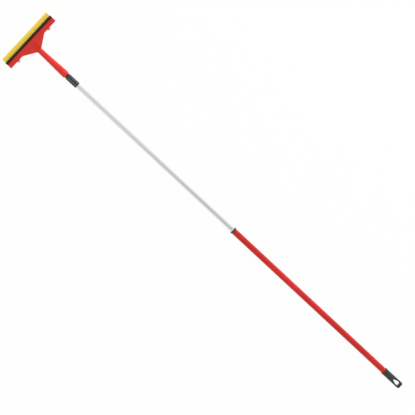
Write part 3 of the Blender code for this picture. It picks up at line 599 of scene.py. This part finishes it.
low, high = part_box("sponge")
form = bmesh.new()
bmesh.ops.create_cube(form, size=1)
bmesh.ops.scale(form, vec=high - low, verts=form.verts)
bmesh.ops.translate(form, vec=(low + high) / 2, verts=form.verts)
bmesh.ops.bevel(
    form,
    geom=form.edges[:],
    offset=SPONGE_EDGE,
    affect="EDGES",
    segments=3,
    profile=0.5,
    material=-1,
)
for axis, normal in enumerate(Matrix.Identity(3)):
    cuts = int((high[axis] - low[axis]) / SPONGE_STEP)
    for cut in range(1, cuts):
        place = low + (high - low) * cut / cuts
        whole = form.verts[:] + form.edges[:] + form.faces[:]
        bmesh.ops.bisect_plane(form, geom=whole, plane_co=place, plane_no=normal)
form.normal_update()
for vert in form.verts:
    # Each cell of a Voronoi pattern is a pore: deep at its middle, with a wall at its rim.
    near, further = noise.voronoi(vert.co / PORE_WIDTH)[0][:2]
    pit = max(0.0, min(1.0, (further - near) * PORE_STEEPNESS))
    drift = noise.noise(vert.co / SAW_WAVES) * SPONGE_SKIN
    vert.co -= vert.normal * (SPONGE_SKIN + PORE_DEPTH * pit - drift)
sponge = as_piece("foam_block", form, FOAM_CRISP_TURN)

# Polyurethane foam: matt, pale on the walls of its cells and darker down in its pores, where the
# darker colour is painted shade, and faded to green or orange yellow in patches.
dull = {"Roughness": 0.92, "IOR": 1.45, "Specular_IOR_Level": 0.2, "Sheen_Weight": 0.15}
foam = new_material("yellow_polyurethane_foam", **dull)
place = add(foam, "ShaderNodeTexCoord").outputs["Object"]
pores = {"Vector": place, "Scale": 1 / PORE_WIDTH}
to_wall = add(foam, "ShaderNodeTexVoronoi", pores, feature="DISTANCE_TO_EDGE").outputs["Distance"]
fade = two_tone(foam, grain(foam, FOAM_FADING), FOAM_GREEN_YELLOW, FOAM_ORANGE_YELLOW)
yellow = two_tone(foam, grain(foam, FOAM_CLOUDS), FOAM_YELLOW, fade, low=0.3, high=0.7)
# The darker colour towards the middle of each pore is painted shade.
colour = two_tone(foam, to_wall, yellow, FOAM_PORE_SHADE, low=0.12, high=0.5)
cells = grain(foam, FOAM_CELLS, detail=4.0)
bump = add(foam, "ShaderNodeBump", {"Strength": 0.3, "Distance": 0.15 * MM, "Height": cells})
shade(foam, Base_Color=colour, Normal=bump.outputs[0])
fit(sponge, foam, "head", "sponge")


# Floor and light
# A white seamless floor in a pale room with a darker ceiling, and one long soft light low
# beside the pole. The tubes mirror the room and the floor alone.
FLOOR_SIDE = 40.0
FLOOR_DROP = 0.3 * MM
# The floor glows white to the camera and in mirrors, but for the share that takes shadows.
SHADOW_SHARE = 0.05
ROOM_LEVEL = 1.05
# How much darker the room is overhead, on the side away from the light, and overhead past the
# cap, where it darkens from one slope along the pole to the next.
CEILING_LOSS = 0.3
FAR_SIDE_LOSS = 0.04
FAR_END_LOSS = 0.19
FAR_END_SLOPES = (-0.15, -0.29)
LIGHT_WATTS = 55.0
LIGHT_LENGTH = 4.0
LIGHT_WIDTH = 1.6
LIGHT_PLACE = (0.2, -2.9, 0.7)

form = bmesh.new()
bmesh.ops.create_grid(form, x_segments=1, y_segments=1, size=FLOOR_SIDE / 2)
bmesh.ops.translate(form, vec=(0, 0, -FLOOR_DROP), verts=form.verts)
floor = as_piece("floor", form)
paper = bpy.data.materials.new("white_paper_floor")
paper.use_nodes = True
tree = paper.node_tree
tree.nodes.remove(tree.nodes["Principled BSDF"])
ray = add(paper, "ShaderNodeLightPath").outputs
lit = add(paper, "ShaderNodeBsdfDiffuse", {"Color": (1, 1, 1, 1)}).outputs[0]
glow = add(paper, "ShaderNodeEmission", {"Color": (1, 1, 1, 1), "Strength": 1.0}).outputs[0]
rays = {0: ray["Is Camera Ray"], 1: ray["Is Glossy Ray"]}
seen = add(paper, "ShaderNodeMath", rays, operation="MAXIMUM").outputs[0]
white = {0: seen, 1: 1 - SHADOW_SHARE}
share = add(paper, "ShaderNodeMath", white, operation="MULTIPLY").outputs[0]
blend = add(paper, "ShaderNodeMixShader", {0: share, 1: lit, 2: glow}).outputs[0]
plug(paper, tree.nodes["Material Output"].inputs["Surface"], blend)
floor.data.materials.append(paper)

softbox = bpy.data.lights.new("softbox", "AREA")
softbox.shape = "RECTANGLE"
softbox.size = LIGHT_LENGTH
softbox.size_y = LIGHT_WIDTH
softbox.energy = LIGHT_WATTS
lamp = bpy.data.objects.new("softbox", softbox)
scene.collection.objects.link(lamp)
lamp.visible_camera = False
lamp.visible_glossy = False
# The light's own X runs along the pole, and it faces the middle of the squeegee.
along_pole = Vector((1, 0, 0))
away = Vector((0, *LIGHT_PLACE[1:])).normalized()
facing = Matrix((along_pole, away.cross(along_pole), away)).transposed().to_4x4()
lamp.matrix_world = Matrix.Translation(LIGHT_PLACE) @ facing

world = bpy.data.worlds.new("pale_room")
scene.world = world
world.use_nodes = True
towards = add(world, "ShaderNodeTexCoord").outputs["Generated"]
lean = {0: towards, 1: (0, -FAR_SIDE_LOSS, -CEILING_LOSS)}
fall = add(world, "ShaderNodeVectorMath", lean, operation="DOT_PRODUCT").outputs["Value"]
parts = add(world, "ShaderNodeSeparateXYZ", {"Vector": towards}).outputs
start, stop = FAR_END_SLOPES
slope = {"Value": parts["X"], "From Min": start, "From Max": stop, "To Max": -FAR_END_LOSS}
beyond = add(world, "ShaderNodeMapRange", slope).outputs[0]
dip = {0: beyond, 1: parts["Z"], 2: fall}
fall = add(world, "ShaderNodeMath", dip, operation="MULTIPLY_ADD").outputs[0]
room = add(world, "ShaderNodeMath", {0: fall, 1: ROOM_LEVEL}, operation="ADD").outputs[0]
ray = add(world, "ShaderNodeLightPath").outputs
level = {"Value": ray["Is Camera Ray"], "To Min": room, "To Max": 1.0}
strength = add(world, "ShaderNodeMapRange", level).outputs[0]
backdrop = world.node_tree.nodes["Background"].inputs
plug(world, backdrop["Color"], (1, 1, 1, 1))
plug(world, backdrop["Strength"], strength)

scene.view_settings.view_transform = "Standard"
